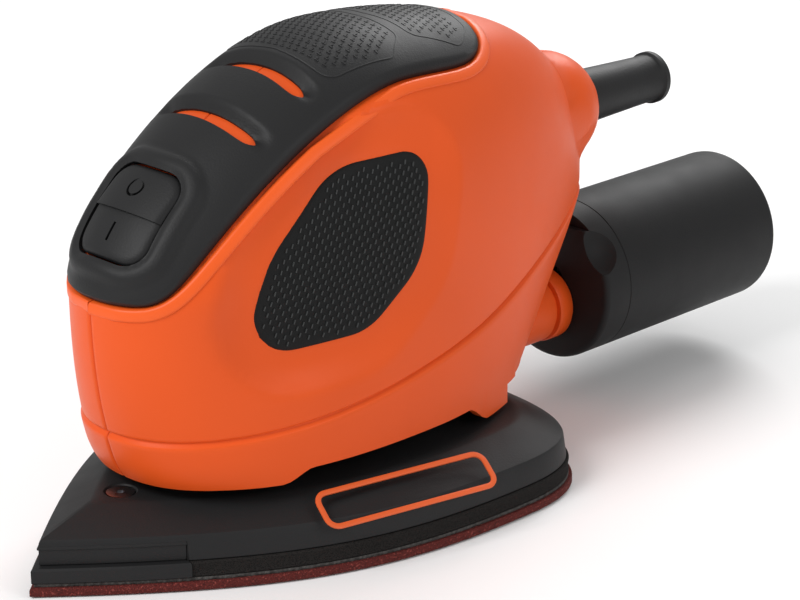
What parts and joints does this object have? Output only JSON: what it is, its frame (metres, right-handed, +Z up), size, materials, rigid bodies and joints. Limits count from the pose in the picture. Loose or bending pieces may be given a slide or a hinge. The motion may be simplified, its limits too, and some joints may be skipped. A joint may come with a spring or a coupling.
{
  "type": "detail sander",
  "caption": "Palm-grip detail sander with a pointed flat-iron base that orbits on an eccentric, a rocker switch and a pull-off dust canister.",
  "frame": {"origin": "motor axis on the sanding plane, the lower face of the abrasive sheet", "axes": "+Z up from the work, -Y towards the pointed tip, +Y towards the cord and canister, +X the tool's left side; X=0 is the middle plane"},
  "size_m": [0.095, 0.235, 0.1115],
  "materials": {
    "orange_plastic": "moulded, low satin, fine spark-eroded grain",
    "black_plastic": "moulded, fine grain",
    "canister_plastic": "moulded, smooth satin",
    "fan_plastic": "glass-filled, dull",
    "grip_rubber": "soft overmould with raised dashes",
    "black_rubber": "dull",
    "pad_foam": "closed-cell foam, fine pores",
    "hook_nylon": "hook tape",
    "abrasive_cloth": "aluminium oxide grit on loop-backed cloth",
    "screw_steel": "zinc plated",
    "bearing_steel": "ground",
    "lamination_steel": "stacked sheets",
    "cast_alloy": "die cast",
    "copper_wire": "enamelled winding",
    "copper_bar": "turned",
    "brass_sheet": "folded sheet",
    "carbon": "pressed carbon",
    "capacitor_film": "glossy box",
    "filter_felt": "pleated felt"
  },
  "bodies": {
    "housing": {"lower_bearing": "bearing_steel", "upper_bearing": "bearing_steel", "bearing_plate": "cast_alloy", "stator_core": "lamination_steel", "field_coils": "copper_wire", "brush_holders": "brass_sheet", "carbon_brushes": "carbon", "brush_springs": "screw_steel", "fan_shroud": "fan_plastic", "rubber_legs": "black_rubber", "housing_left": "orange_plastic", "housing_right": "orange_plastic", "top_cover": "black_plastic", "grip_pad_left": "grip_rubber", "grip_pad_right": "grip_rubber", "housing_screws": "screw_steel", "switch_body": "black_plastic", "suppression_capacitor": "capacitor_film", "cord_clamp": "black_plastic", "cord_clamp_screws": "screw_steel", "cord_sleeve": "black_rubber"},
    "armature": {"motor_shaft": "bearing_steel", "armature_core": "lamination_steel", "armature_windings": "copper_wire", "commutator": "copper_bar", "dust_fan": "fan_plastic", "eccentric_hub": "cast_alloy", "bearing_screw": "screw_steel"},
    "platen": {"platen": "black_plastic", "tip_holder": "black_plastic", "tip_screw": "screw_steel", "platen_bearing": "bearing_steel", "foam_pad": "pad_foam", "hook_layer": "hook_nylon", "sanding_sheet": "abrasive_cloth"},
    "rocker": {"switch_rocker": "black_plastic"},
    "canister": {"canister_inlet": "canister_plastic", "filter_frame": "black_plastic", "filter_sleeve": "filter_felt"},
    "cup": {"canister_cup": "canister_plastic"}
  },
  "joints": [
    {"name": "armature_spin", "type": "hinge", "parent": "housing", "child": "armature", "pos_m": [0, 0, 0.05], "axis": [0, 0, 1], "continuous": true},
    {"name": "platen_orbit", "type": "hinge", "parent": "armature", "child": "platen", "pos_m": [0.00075, 0, 0.013], "axis": [0, 0, 1], "continuous": true, "deforming": ["rubber_legs"]},
    {"name": "switch_rock", "type": "hinge", "parent": "housing", "child": "rocker", "pos_m": [0, -0.05068, 0.07776], "axis": [1, 0, 0], "range_deg": [0, 6]},
    {"name": "canister_pull", "type": "slide", "parent": "housing", "child": "canister", "axis": [0, 1, 0], "range_m": [0, 0.05]},
    {"name": "cup_pull", "type": "slide", "parent": "canister", "child": "cup", "axis": [0, 1, 0], "range_m": [0, 0.06]}
  ],
  "couplings": [
    {"joint": "platen_orbit", "follows": "armature_spin", "ratio": -1}
  ]
}
